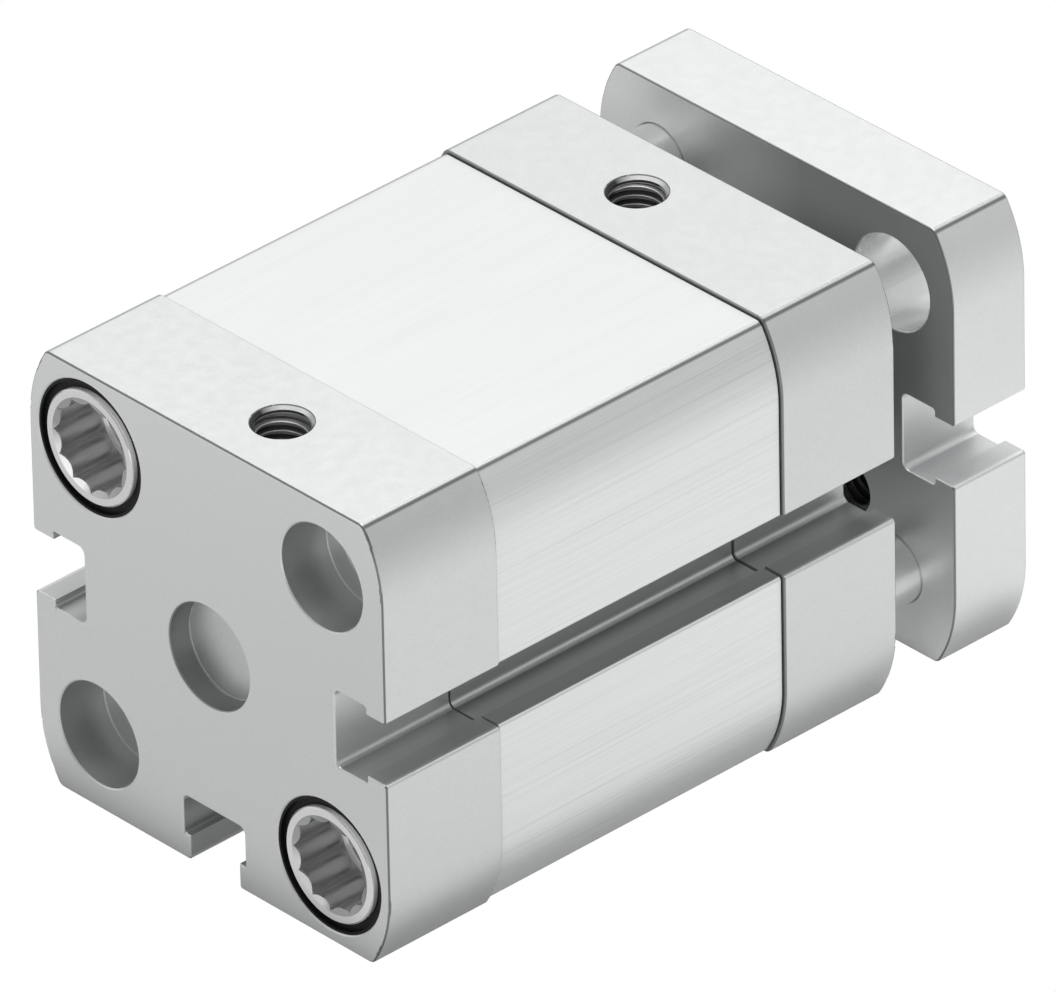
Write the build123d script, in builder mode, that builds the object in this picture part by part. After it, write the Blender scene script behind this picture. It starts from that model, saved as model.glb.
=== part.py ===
"""Compact pneumatic cylinder with two guide rods and a yoke plate.

Bore 25 mm, stroke 15 mm, drawn with the rod in. X runs along the cylinder from the rear face
at x = 0 towards the yoke plate, Z is up, and both air ports open on the top face. Seen from
behind, the guide rods lie on the diagonal from upper left to lower right, and the through
holes for mounting screws on the other one. All sizes are in millimetres.
"""
import os
from math import asin, cos, degrees, radians, sqrt

from build123d import *

# Cross-section shared by both caps and the yoke plate
corner_wall = 1.0            # outer face to the screw recesses, which sets the section's size
corner_arc_radius = 12.0     # large arc that rolls each side into the corner
side_flat_height = 26.0      # straight part of each side
crown_radius = 0.8           # small radius where the corner arc meets top or bottom
edge_radius = 0.2            # broken outer edges of caps and plate
joint_edge_radius = 0.1      # the same where a cap meets the barrel
barrel_step = 0.23           # the barrel's skin lies this far inside the caps

# Lengths along the axis
rear_cap_length = 11.85
front_cap_length = 12.0
stroke = 15.0
piston_length = 8.5
end_clearance = 0.25         # piston to cap at either end of the stroke
spigot_length = 3.0          # how far each cap reaches into the barrel
plate_gap = 6.3              # front cap to yoke plate, rod in
plate_thickness = 7.8

# Sensor slots in both sides and the underside
slot_mouth_width = 5.5
slot_inner_width = 6.9
slot_depth = 5.7
slot_lip = 2.2
slot_floor_radius = 0.6
slot_heel_radius = 0.25
slot_mouth_radius = 0.3

# Bore, rods and hole pattern
bore_diameter = 25.0
rod_diameter = 10.0
guide_rod_diameter = 6.0
hole_spacing = 26.0          # corner holes, centre to centre

# Clearances, all radial
seated_gap = 0.02            # between pieces that are seated in one another
running_gap = 0.04           # between a rod or the piston and what guides it
seal_gap = 0.08              # between a drawn seal and the surface it wipes
free_gap = 0.2               # between moving pieces that never guide

# Corner holes for mounting screws
mount_hole_diameter = 4.5
mount_counterbore_diameter = 9.0
mount_counterbore_depth = 4.7
mount_floor_break = 0.25
floor_radius = 0.15          # rounded corner at the floor of a recess
centring_diameter = 9.0
centring_depth = 2.1
mouth_break = 0.12           # broken edge at each hole's mouth

# Hollow collar screws, which clamp the caps and let the guide rods pass
screw_recess_depth = 5.0
screw_inset = 0.05
screw_shoulder = 0.9         # head over shank, radial
screw_engagement = 6.0
socket_points = 12
socket_point_height = 0.52
socket_depth = 4.5
socket_mouth_width = 0.08
socket_mouth_angle = 143.0   # shallow cone at the socket's mouth
socket_floor_break = 0.3
head_seal_width = 0.85       # head to recess, radial
head_seal_inset = 0.5
head_seal_lip = 0.2
head_seal_lip_inset = 0.08
guide_bush_wall = 1.0
guide_bush_inset = 1.0       # bush to the end of the collar screw
guide_bush_gap = 1.0         # between the two bushes of a guide rod
wiper_inset = 0.3
wiper_length = 2.0
wiper_width = 0.6
guide_rod_tail_gap = 0.35    # socket floor of the rear screws to the rods' tails

# Air ports and their drillings
port_diameter = 5.0
port_mouth_diameter = 5.15
port_thread_depth = 6.0
port_drill_diameter = 2.5
port_inset = 5.82            # port to the outer face of its cap
port_offset = 2.62           # port to the middle plane, one to each side
passage_diameter = 1.6
passage_height = 9.3

# Seals and cushions in the caps
o_ring_section = 1.2
o_ring_groove_width = 1.6
cushion_wall = 1.9
cushion_margin = 0.6         # rod bush to cushion, radial
cushion_seat_depth = 1.2
cushion_stand_out = 0.1

# Front bearing
rod_bush_wall = 1.0
rod_bush_inset = 1.5         # bush to the inner end of the front cap
rod_seal_width = 3.0
rod_seal_depth = 3.5
rod_seal_inset = 0.2
rod_seal_groove = 0.7        # width of the seal's rim and of its wiping lip
rod_seal_lip_height = 0.8

# Joint between barrel and caps
relief_width = 0.12
relief_depth = 0.3
bore_lead_in = 0.3

# Piston and what it carries
piston_wall = 0.75           # between and beside the grooves
magnet_width = 2.0
piston_seal_width = 2.0
piston_groove_depth = 2.6
guide_ring_depth = 1.0
seal_lip_chamfer = 0.3
ring_split = 0.6
piston_screw_diameter = 5.0
piston_screw_head_diameter = 8.5
piston_screw_head_height = 3.6
piston_screw_grip = 12.0     # in the rod
piston_screw_key = 4.0
hex_depth_share = 0.55       # depth of a hexagon socket as a share of its width
rod_shoulder = 1.5           # rod over its tenon, radial
rod_tenon_length = 1.5

# Yoke plate
plate_clearance_diameter = 8.2
plate_thread_diameter = 5.0
plate_thread_circle = 22.0
rod_seat_depth = 1.5
guide_rod_seat_depth = 3.5
rod_screw_diameter = 6.0
rod_screw_head_diameter = 11.4
rod_screw_length = 16.0
rod_screw_key = 4.0
guide_screw_diameter = 4.0
guide_screw_head_diameter = 7.6
guide_screw_length = 12.0
guide_screw_key = 2.5
screw_head_inset = 0.15
tip_clearance = 1.0          # below each screw's tip
rod_end_chamfer = 0.5

# Diameters that follow from the rods
rod_bush_diameter = rod_diameter + 2 * rod_bush_wall
rod_seal_diameter = rod_diameter + 2 * rod_seal_width
rod_tenon_diameter = rod_diameter - 2 * rod_shoulder
cushion_inner_diameter = rod_bush_diameter + 2 * cushion_margin
cushion_outer_diameter = cushion_inner_diameter + 2 * cushion_wall
screw_bore_diameter = guide_rod_diameter + 2 * free_gap
screw_shank_diameter = guide_rod_diameter + 2 * guide_bush_wall
screw_head_diameter = screw_shank_diameter + 2 * screw_shoulder
screw_recess_diameter = screw_head_diameter + 2 * head_seal_width
socket_root_radius = guide_rod_diameter / 2 + wiper_width
socket_tip_radius = socket_root_radius + socket_point_height
socket_mouth_radius = socket_tip_radius + socket_mouth_width
half_section = hole_spacing / 2 + screw_recess_diameter / 2 + corner_wall

# Stations along the axis
rear_joint = rear_cap_length
barrel_length = stroke + piston_length + 2 * (spigot_length + end_clearance)
front_joint = rear_joint + barrel_length
front_face = front_joint + front_cap_length
plate_rear = front_face + plate_gap
plate_front = plate_rear + plate_thickness
piston_rear = rear_joint + spigot_length + end_clearance
piston_front = piston_rear + piston_length
rod_end = plate_rear + rod_seat_depth
guide_rod_tail = socket_depth + screw_inset + guide_rod_tail_gap
guide_rod_end = plate_rear + guide_rod_seat_depth
rear_spigot_end = rear_joint + spigot_length
front_spigot_end = front_joint - spigot_length

# Radii that follow from the bore and the holes
corner_reach = hole_spacing / sqrt(2)
bore_radius = bore_diameter / 2
spigot_radius = bore_radius - seated_gap
groove_floor = spigot_radius - o_ring_section - seated_gap
o_ring_inset = (spigot_length - o_ring_groove_width) / 2
piston_radius = bore_radius - free_gap
rod_screw_seat_radius = rod_screw_head_diameter / 2 + screw_head_inset + seated_gap
guide_screw_seat_radius = guide_screw_head_diameter / 2 + screw_head_inset + seated_gap

# Stations of the piston's grooves, and lengths that fill what the others leave
magnet_start = piston_rear + piston_wall
piston_seal_start = magnet_start + magnet_width + piston_wall
guide_ring_start = piston_seal_start + piston_seal_width + piston_wall
guide_ring_width = piston_front - piston_wall - guide_ring_start
guide_bush_length = (barrel_length - 2 * (screw_engagement + guide_bush_inset)
                     - guide_bush_gap) / 2
piston_screw_length = (piston_length - screw_head_inset - piston_screw_head_height
                       - rod_tenon_length + piston_screw_grip)

os.makedirs("parts", exist_ok=True)


def facing_front(x):
    """Cross-section plane at x that faces the yoke plate: its local axes are Y and Z."""
    return Plane.YZ.offset(x)


def facing_rear(x):
    """Cross-section plane at x as seen from behind: its local axes are -Y and Z."""
    return Plane(origin=(x, 0, 0), x_dir=(0, -1, 0), z_dir=(-1, 0, 0))


def guide_places(plane=None):
    """The two corners that carry the guide rods, as seen on the given plane."""
    return PolarLocations(corner_reach, 2, start_angle=135 if faces_rear(plane) else 45)


def mount_places(plane=None):
    """The two corners with mounting holes, as seen on the given plane."""
    return PolarLocations(corner_reach, 2, start_angle=45 if faces_rear(plane) else 135)


def faces_rear(plane):
    """Whether a plane looks away from the yoke plate."""
    return plane is not None and plane.z_dir.X < 0


def slot_corners(outline, half_width, from_axis):
    """Corners of the three sensor slots at one half width and distance from the axis."""
    def matches(v):
        near, far = sorted((abs(v.X), abs(v.Y)))
        return abs(near - half_width) < 0.01 and abs(far - from_axis) < 0.01
    return outline.vertices().filter_by(matches)


def body_section(plane, inset=0.0, shrink=0.0):
    """Section with arched corners and a sensor slot in both sides and underneath.

    inset moves the outer skin inwards; shrink then moves the skin and the slots' walls.
    """
    half = half_section - inset
    arc_radius = corner_arc_radius - inset
    arc_y = half_section - corner_arc_radius
    arc_z = side_flat_height / 2
    crown_reach = arc_y + sqrt(arc_radius**2 - (half - arc_z)**2)
    slot_floor = half_section - slot_depth
    slot_heel = half_section - slot_lip
    with BuildSketch(plane) as outline:
        with BuildLine():
            Line((0, half), (crown_reach, half))
            CenterArc((arc_y, arc_z), arc_radius, 0, degrees(asin((half - arc_z) / arc_radius)))
            Line((half, arc_z), (half, 0))
            mirror(about=Plane.YZ)
            mirror(about=Plane.XZ)
        make_face()
        crowns = outline.vertices().filter_by(lambda v: abs(abs(v.X) - crown_reach) < 0.01)
        fillet(crowns, crown_radius)
        with PolarLocations(slot_floor, 3, start_angle=180, angular_range=180, endpoint=True):
            Rectangle(slot_heel - slot_floor, slot_inner_width,
                      align=(Align.MIN, Align.CENTER), mode=Mode.SUBTRACT)
            Rectangle(half_section, slot_mouth_width,
                      align=(Align.MIN, Align.CENTER), mode=Mode.SUBTRACT)
        fillet(slot_corners(outline, slot_inner_width / 2, slot_floor), slot_floor_radius)
        fillet(slot_corners(outline, slot_inner_width / 2, slot_heel), slot_heel_radius)
        fillet(slot_corners(outline, slot_mouth_width / 2, half), slot_mouth_radius)
        if shrink:
            offset(amount=-shrink, kind=Kind.INTERSECTION, mode=Mode.REPLACE)
    return outline.sketch


def disc(x, length, radius):
    """A round block on the axis from x onwards."""
    with BuildSketch(facing_front(x)) as face:
        Circle(radius)
    extrude(face.sketch, amount=length)


def ring(x, length, outer_radius, inner_radius, mode=Mode.ADD):
    """A ring on the axis from x onwards, or the groove that holds one."""
    with BuildSketch(facing_front(x)) as face:
        Circle(outer_radius)
        Circle(inner_radius, mode=Mode.SUBTRACT)
    extrude(face.sketch, amount=length, mode=mode)


def corner_rings(x, length, outer_radius, inner_radius):
    """Two rings round the guide rods."""
    with BuildSketch(facing_front(x)) as faces:
        with guide_places():
            Circle(outer_radius)
            Circle(inner_radius, mode=Mode.SUBTRACT)
    extrude(faces.sketch, amount=length)


def rims(piece, x, radius):
    """The round edges of one radius at one station."""
    return piece.edges().filter_by(GeomType.CIRCLE).filter_by(
        lambda e: abs(e.arc_center.X - x) < 0.01 and abs(e.radius - radius) < 0.01)


def break_outline(piece, x, radius=edge_radius):
    """Round the outline of the end face at x."""
    ends = piece.faces().filter_by(GeomType.PLANE).filter_by(
        lambda f: abs(f.bounding_box().min.X - x) + abs(f.bounding_box().max.X - x) < 0.01)
    fillet(ends.sort_by(SortBy.AREA)[-1].outer_wire().edges(), radius)


def corner_holes(piece, face_x, plane):
    """Mounting holes and screw recesses of a cap, cut from its outer face."""
    inward = 1 if faces_rear(plane) else -1
    floor_x = face_x + inward * mount_counterbore_depth
    with Locations(plane):
        with mount_places(plane):
            CounterBoreHole(mount_hole_diameter / 2, mount_counterbore_diameter / 2,
                            mount_counterbore_depth)
        with guide_places(plane):
            CounterBoreHole(screw_shank_diameter / 2 + seated_gap, screw_recess_diameter / 2,
                            screw_recess_depth)
    chamfer(rims(piece, floor_x, mount_hole_diameter / 2), mount_floor_break)
    fillet(rims(piece, floor_x, mount_counterbore_diameter / 2), floor_radius)
    chamfer(rims(piece, face_x, mount_counterbore_diameter / 2), mouth_break)
    chamfer(rims(piece, face_x, screw_recess_diameter / 2), mouth_break)


def air_port(x, side, spigot_end):
    """Threaded port from the top, cut at the thread's outer diameter, and its drillings."""
    top = Plane(origin=(x, side * port_offset, half_section), x_dir=(1, 0, 0), z_dir=(0, 0, 1))
    with Locations(top):
        CounterSinkHole(port_diameter / 2, port_mouth_diameter / 2, port_thread_depth, 90)
        Hole(port_drill_diameter / 2, half_section - passage_height)
    inner = facing_front(spigot_end) if spigot_end > x else facing_rear(spigot_end)
    across = -side if faces_rear(inner) else side
    with Locations(inner):
        with Locations((across * port_offset, passage_height)):
            Hole(passage_diameter / 2, abs(spigot_end - x))


def o_ring(x):
    """Cord ring in the groove of a cap's spigot, centred at x."""
    with Locations((x, 0, 0)):
        Torus(groove_floor + seated_gap + o_ring_section / 2, o_ring_section / 2,
              rotation=(0, 90, 0))


def collar_screws(plane, shank_length):
    """Two hollow screws with a multi-point socket, their heads' ends on the given plane."""
    head_length = screw_recess_depth - screw_inset
    tip_angle = cos(radians(180 / socket_points))
    lobe_radius = ((socket_root_radius**2 + socket_tip_radius**2
                    - 2 * socket_root_radius * socket_tip_radius * tip_angle)
                   / (2 * (socket_tip_radius * tip_angle - socket_root_radius)))
    for length, diameter in ((head_length, screw_head_diameter),
                             (head_length + shank_length, screw_shank_diameter)):
        with BuildSketch(plane) as ends:
            with guide_places(plane):
                Circle(diameter / 2)
        extrude(ends.sketch, amount=-length)
    with Locations(plane):
        with guide_places(plane):
            CounterSinkHole(screw_bore_diameter / 2, socket_mouth_radius,
                            counter_sink_angle=socket_mouth_angle)
    with BuildSketch(plane) as sockets:
        with guide_places(plane):
            Circle(socket_tip_radius)
            with PolarLocations(socket_root_radius + lobe_radius, socket_points):
                Circle(lobe_radius, mode=Mode.SUBTRACT)
    extrude(sockets.sketch, amount=-socket_depth, mode=Mode.SUBTRACT)


def finish_collar_screws(piece, head_end, inward):
    """Break the head's rim, the shank's tip and the bore's edge at the socket's floor."""
    chamfer(rims(piece, head_end, screw_head_diameter / 2), mouth_break)
    chamfer(rims(piece, head_end + inward * socket_depth, screw_bore_diameter / 2),
            socket_floor_break)


def head_seals(plane):
    """Two black cup rings that fill the gap round the collar screws' heads."""
    outer = screw_recess_diameter / 2 - seated_gap
    inner = screw_head_diameter / 2 + seated_gap
    for start, end, inside in ((head_seal_lip_inset, screw_recess_depth, outer - head_seal_lip),
                               (head_seal_inset, screw_recess_depth, inner)):
        with BuildSketch(plane.offset(-start)) as faces:
            with guide_places(plane):
                Circle(outer)
                Circle(inside, mode=Mode.SUBTRACT)
        extrude(faces.sketch, amount=start - end)


def countersunk_screw(places, diameter, head_diameter, length, key):
    """Countersunk screws from the plate's front face, with a hexagon socket."""
    top = plate_front - screw_head_inset
    cone = (head_diameter - diameter) / 2
    with BuildSketch(facing_front(top)) as heads:
        with places:
            Circle(head_diameter / 2)
    extrude(heads.sketch, amount=-cone, taper=45)
    with BuildSketch(facing_front(top - cone)) as shanks:
        with places:
            Circle(diameter / 2)
    extrude(shanks.sketch, amount=cone - length)
    with BuildSketch(facing_front(top)) as sockets:
        with places:
            RegularPolygon(key / 2, 6, major_radius=False)
    extrude(sockets.sketch, amount=-key * hex_depth_share, mode=Mode.SUBTRACT)


# Rear cap: closes the barrel, with the rear port and the centring recess
with BuildPart() as rear_cap:
    extrude(body_section(facing_front(0)), amount=rear_cap_length)
    break_outline(rear_cap, 0)
    break_outline(rear_cap, rear_joint, joint_edge_radius)
    disc(rear_joint, spigot_length, spigot_radius)
    ring(rear_joint + o_ring_inset, o_ring_groove_width, bore_radius, groove_floor,
         mode=Mode.SUBTRACT)
    ring(rear_spigot_end - cushion_seat_depth, cushion_seat_depth, cushion_outer_diameter / 2,
         cushion_inner_diameter / 2, mode=Mode.SUBTRACT)
    air_port(port_inset, -1, rear_spigot_end)
    corner_holes(rear_cap, 0, facing_rear(0))
    with Locations(facing_rear(0)):
        Hole(centring_diameter / 2, centring_depth)
    fillet(rims(rear_cap, centring_depth, centring_diameter / 2), floor_radius)
    chamfer(rims(rear_cap, 0, centring_diameter / 2), mouth_break)
rear_cap.part.label = "rear_cap"
export_step(rear_cap.part, "parts/rear_cap.step")

# Barrel: brushed profile with the bore, drilled through for guide rods and mounting screws
with BuildPart() as barrel:
    extrude(body_section(facing_front(rear_joint + relief_width), inset=barrel_step),
            amount=barrel_length - 2 * relief_width)
    for land in (rear_joint, front_joint - relief_width):
        extrude(body_section(facing_front(land), inset=barrel_step, shrink=relief_depth),
                amount=relief_width)
    with Locations(facing_front(front_joint)):
        Hole(bore_radius)
        with guide_places():
            Hole(screw_shank_diameter / 2 + seated_gap)
        with mount_places():
            Hole(mount_hole_diameter / 2)
    for joint in (rear_joint, front_joint):
        chamfer(rims(barrel, joint, bore_radius), bore_lead_in)
barrel.part.label = "barrel"
export_step(barrel.part, "parts/barrel.step")

# Front cap: carries the rod's bush and seal, and the front port
with BuildPart() as front_cap:
    extrude(body_section(facing_front(front_joint)), amount=front_cap_length)
    break_outline(front_cap, front_joint, joint_edge_radius)
    break_outline(front_cap, front_face)
    disc(front_spigot_end, spigot_length, spigot_radius)
    ring(front_joint - o_ring_inset - o_ring_groove_width, o_ring_groove_width, bore_radius,
         groove_floor, mode=Mode.SUBTRACT)
    ring(front_spigot_end, cushion_seat_depth, cushion_outer_diameter / 2,
         cushion_inner_diameter / 2, mode=Mode.SUBTRACT)
    air_port(front_face - port_inset, 1, front_spigot_end)
    corner_holes(front_cap, front_face, facing_front(front_face))
    with Locations(facing_front(front_face)):
        CounterBoreHole(rod_bush_diameter / 2 + seated_gap, rod_seal_diameter / 2 + seated_gap,
                        rod_seal_depth)
    chamfer(rims(front_cap, front_face, rod_seal_diameter / 2 + seated_gap), mouth_break)
front_cap.part.label = "front_cap"
export_step(front_cap.part, "parts/front_cap.step")

# Hollow collar screws that clamp the caps to the barrel
with BuildPart() as rear_collar_screws:
    collar_screws(facing_rear(screw_inset),
                  rear_cap_length - screw_recess_depth + screw_engagement)
    finish_collar_screws(rear_collar_screws, screw_inset, 1)
rear_collar_screws.part.label = "rear_collar_screws"
export_step(rear_collar_screws.part, "parts/rear_collar_screws.step")

with BuildPart() as front_collar_screws:
    collar_screws(facing_front(front_face - screw_inset),
                  front_cap_length - screw_recess_depth + screw_engagement)
    finish_collar_screws(front_collar_screws, front_face - screw_inset, -1)
front_collar_screws.part.label = "front_collar_screws"
export_step(front_collar_screws.part, "parts/front_collar_screws.step")

# Black cup rings round the screws' heads
with BuildPart() as rear_head_seals:
    head_seals(facing_rear(0))
rear_head_seals.part.label = "rear_head_seals"
export_step(rear_head_seals.part, "parts/rear_head_seals.step")

with BuildPart() as front_head_seals:
    head_seals(facing_front(front_face))
front_head_seals.part.label = "front_head_seals"
export_step(front_head_seals.part, "parts/front_head_seals.step")

# Cord rings that seal the spigots in the bore
with BuildPart() as rear_o_ring:
    o_ring(rear_joint + spigot_length / 2)
rear_o_ring.part.label = "rear_o_ring"
export_step(rear_o_ring.part, "parts/rear_o_ring.step")

with BuildPart() as front_o_ring:
    o_ring(front_joint - spigot_length / 2)
front_o_ring.part.label = "front_o_ring"
export_step(front_o_ring.part, "parts/front_o_ring.step")

# Elastic cushions that catch the piston at either end
with BuildPart() as rear_cushion:
    ring(rear_spigot_end - cushion_seat_depth, cushion_seat_depth + cushion_stand_out,
         cushion_outer_diameter / 2 - seated_gap, cushion_inner_diameter / 2 + seated_gap)
rear_cushion.part.label = "rear_cushion"
export_step(rear_cushion.part, "parts/rear_cushion.step")

with BuildPart() as front_cushion:
    ring(front_spigot_end - cushion_stand_out, cushion_seat_depth + cushion_stand_out,
         cushion_outer_diameter / 2 - seated_gap, cushion_inner_diameter / 2 + seated_gap)
front_cushion.part.label = "front_cushion"
export_step(front_cushion.part, "parts/front_cushion.step")

# Bearing bush of the piston rod
with BuildPart() as rod_bush:
    ring(front_spigot_end + rod_bush_inset,
         front_face - rod_seal_depth - front_spigot_end - rod_bush_inset,
         rod_bush_diameter / 2, rod_diameter / 2 + running_gap)
rod_bush.part.label = "rod_bush"
export_step(rod_bush.part, "parts/rod_bush.step")

# Rod seal with its wiping lip, pressed into the front face
with BuildPart() as rod_seal:
    ring(front_face - rod_seal_depth, rod_seal_depth - rod_seal_inset, rod_seal_diameter / 2,
         rod_diameter / 2 + seal_gap)
    with BuildSketch(facing_front(front_face - rod_seal_inset)):
        Circle(rod_seal_diameter / 2 - rod_seal_groove)
        Circle(rod_diameter / 2 + rod_seal_groove, mode=Mode.SUBTRACT)
    extrude(amount=-rod_seal_lip_height, mode=Mode.SUBTRACT)
rod_seal.part.label = "rod_seal"
export_step(rod_seal.part, "parts/rod_seal.step")

# Bearing bushes of the guide rods, held in the barrel between the collar screws
with BuildPart() as rear_guide_bushes:
    corner_rings(rear_joint + screw_engagement + guide_bush_inset, guide_bush_length,
                 screw_shank_diameter / 2, guide_rod_diameter / 2 + running_gap)
rear_guide_bushes.part.label = "rear_guide_bushes"
export_step(rear_guide_bushes.part, "parts/rear_guide_bushes.step")

with BuildPart() as front_guide_bushes:
    corner_rings(front_joint - screw_engagement - guide_bush_inset - guide_bush_length,
                 guide_bush_length, screw_shank_diameter / 2,
                 guide_rod_diameter / 2 + running_gap)
front_guide_bushes.part.label = "front_guide_bushes"
export_step(front_guide_bushes.part, "parts/front_guide_bushes.step")

# Wiper rings in the sockets of the front collar screws
with BuildPart() as guide_rod_wipers:
    corner_rings(front_face - wiper_inset - wiper_length, wiper_length,
                 socket_root_radius - seated_gap, guide_rod_diameter / 2 + seal_gap)
guide_rod_wipers.part.label = "guide_rod_wipers"
export_step(guide_rod_wipers.part, "parts/guide_rod_wipers.step")

# Piston: grooves for magnet, seal and guide ring, and seats for rod and screw
with BuildPart() as piston:
    disc(piston_rear, piston_length, piston_radius)
    ring(magnet_start, magnet_width, bore_radius, piston_radius - piston_groove_depth,
         mode=Mode.SUBTRACT)
    ring(piston_seal_start, piston_seal_width, bore_radius, piston_radius - piston_groove_depth,
         mode=Mode.SUBTRACT)
    ring(guide_ring_start, guide_ring_width, bore_radius, piston_radius - guide_ring_depth,
         mode=Mode.SUBTRACT)
    with Locations(facing_rear(piston_rear)):
        CounterBoreHole(piston_screw_diameter / 2 + free_gap,
                        piston_screw_head_diameter / 2 + free_gap,
                        piston_screw_head_height + screw_head_inset)
    with Locations(facing_front(piston_front)):
        Hole(rod_tenon_diameter / 2 + seated_gap, rod_tenon_length)
piston.part.label = "piston"
export_step(piston.part, "parts/piston.step")

# Double-acting piston seal
with BuildPart() as piston_seal:
    ring(piston_seal_start + seated_gap, piston_seal_width - 2 * seated_gap,
         bore_radius - seal_gap, piston_radius - piston_groove_depth + seated_gap)
    for x in (piston_seal_start + seated_gap, piston_seal_start + piston_seal_width - seated_gap):
        chamfer(rims(piston_seal, x, bore_radius - seal_gap), seal_lip_chamfer)
piston_seal.part.label = "piston_seal"
export_step(piston_seal.part, "parts/piston_seal.step")

# Split magnet ring that the sensors in the slots read
with BuildPart() as piston_magnet:
    ring(magnet_start + seated_gap, magnet_width - 2 * seated_gap, piston_radius - seated_gap,
         piston_radius - piston_groove_depth + seated_gap)
    with Locations((magnet_start, 0, -bore_radius)):
        Box(piston_length, ring_split, bore_radius, mode=Mode.SUBTRACT)
piston_magnet.part.label = "piston_magnet"
export_step(piston_magnet.part, "parts/piston_magnet.step")

# Split guide ring that carries the piston in the bore
with BuildPart() as piston_guide_ring:
    ring(guide_ring_start + seated_gap, guide_ring_width - 2 * seated_gap,
         bore_radius - running_gap, piston_radius - guide_ring_depth + seated_gap)
    with Locations((guide_ring_start, 0, bore_radius)):
        Box(piston_length, ring_split, bore_radius, mode=Mode.SUBTRACT)
piston_guide_ring.part.label = "piston_guide_ring"
export_step(piston_guide_ring.part, "parts/piston_guide_ring.step")

# Cap screw that fixes the piston to its rod
with BuildPart() as piston_screw:
    disc(piston_rear + screw_head_inset, piston_screw_head_height,
         piston_screw_head_diameter / 2)
    disc(piston_rear + screw_head_inset + piston_screw_head_height, piston_screw_length,
         piston_screw_diameter / 2)
    with BuildSketch(facing_front(piston_rear + screw_head_inset)):
        RegularPolygon(piston_screw_key / 2, 6, major_radius=False)
    extrude(amount=piston_screw_key * hex_depth_share, mode=Mode.SUBTRACT)
piston_screw.part.label = "piston_screw"
export_step(piston_screw.part, "parts/piston_screw.step")

# Piston rod: tenon in the piston, tapped at both ends
with BuildPart() as piston_rod:
    disc(piston_front, rod_end - piston_front, rod_diameter / 2)
    disc(piston_front - rod_tenon_length, rod_tenon_length, rod_tenon_diameter / 2)
    with Locations(facing_rear(piston_front - rod_tenon_length)):
        Hole(piston_screw_diameter / 2 + seated_gap, piston_screw_grip + tip_clearance)
    with Locations(facing_front(rod_end)):
        Hole(rod_screw_diameter / 2 + seated_gap,
             rod_screw_length + screw_head_inset - (plate_front - rod_end) + tip_clearance)
    chamfer(rims(piston_rod, rod_end, rod_diameter / 2), rod_end_chamfer)
piston_rod.part.label = "piston_rod"
export_step(piston_rod.part, "parts/piston_rod.step")

# Guide rods, tapped where the yoke plate is screwed on
with BuildPart() as guide_rods:
    with BuildSketch(facing_front(guide_rod_tail)):
        with guide_places():
            Circle(guide_rod_diameter / 2)
    extrude(amount=guide_rod_end - guide_rod_tail)
    with Locations(facing_front(guide_rod_end)):
        with guide_places():
            Hole(guide_screw_diameter / 2 + seated_gap,
                 guide_screw_length + screw_head_inset - (plate_front - guide_rod_end)
                 + tip_clearance)
    chamfer(rims(guide_rods, guide_rod_tail, guide_rod_diameter / 2), rod_end_chamfer)
guide_rods.part.label = "guide_rods"
export_step(guide_rods.part, "parts/guide_rods.step")

# Yoke plate: four tapped holes for the load, clear holes that let mounting screws through
with BuildPart() as yoke_plate:
    extrude(body_section(facing_front(plate_rear)), amount=plate_thickness)
    break_outline(yoke_plate, plate_rear)
    break_outline(yoke_plate, plate_front)
    with Locations(facing_front(plate_front)):
        CounterSinkHole(rod_screw_diameter / 2 + free_gap, rod_screw_seat_radius,
                        counter_sink_angle=90)
        with guide_places():
            CounterSinkHole(guide_screw_diameter / 2 + free_gap, guide_screw_seat_radius,
                            counter_sink_angle=90)
        with mount_places():
            Hole(plate_clearance_diameter / 2)
        with PolarLocations(plate_thread_circle / 2, 4, start_angle=45):
            Hole(plate_thread_diameter / 2)
    with Locations(facing_rear(plate_rear)):
        Hole(rod_diameter / 2 + seated_gap, rod_seat_depth)
        with guide_places(facing_rear(plate_rear)):
            Hole(guide_rod_diameter / 2 + seated_gap, guide_rod_seat_depth)
    for x, radius in ((plate_rear, plate_clearance_diameter / 2),
                      (plate_front, plate_clearance_diameter / 2),
                      (plate_rear, plate_thread_diameter / 2),
                      (plate_front, plate_thread_diameter / 2),
                      (plate_rear, guide_rod_diameter / 2 + seated_gap),
                      (plate_rear, rod_diameter / 2 + seated_gap)):
        chamfer(rims(yoke_plate, x, radius), mouth_break)
yoke_plate.part.label = "yoke_plate"
export_step(yoke_plate.part, "parts/yoke_plate.step")

# Countersunk screws that hold the yoke plate on the rods
with BuildPart() as rod_screw:
    countersunk_screw(Locations((0, 0)), rod_screw_diameter, rod_screw_head_diameter,
                      rod_screw_length, rod_screw_key)
rod_screw.part.label = "rod_screw"
export_step(rod_screw.part, "parts/rod_screw.step")

with BuildPart() as guide_rod_screws:
    countersunk_screw(guide_places(), guide_screw_diameter, guide_screw_head_diameter,
                      guide_screw_length, guide_screw_key)
guide_rod_screws.part.label = "guide_rod_screws"
export_step(guide_rod_screws.part, "parts/guide_rod_screws.step")
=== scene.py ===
"""Compact pneumatic cylinder with guide rods and a yoke plate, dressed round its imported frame."""
import math

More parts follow.
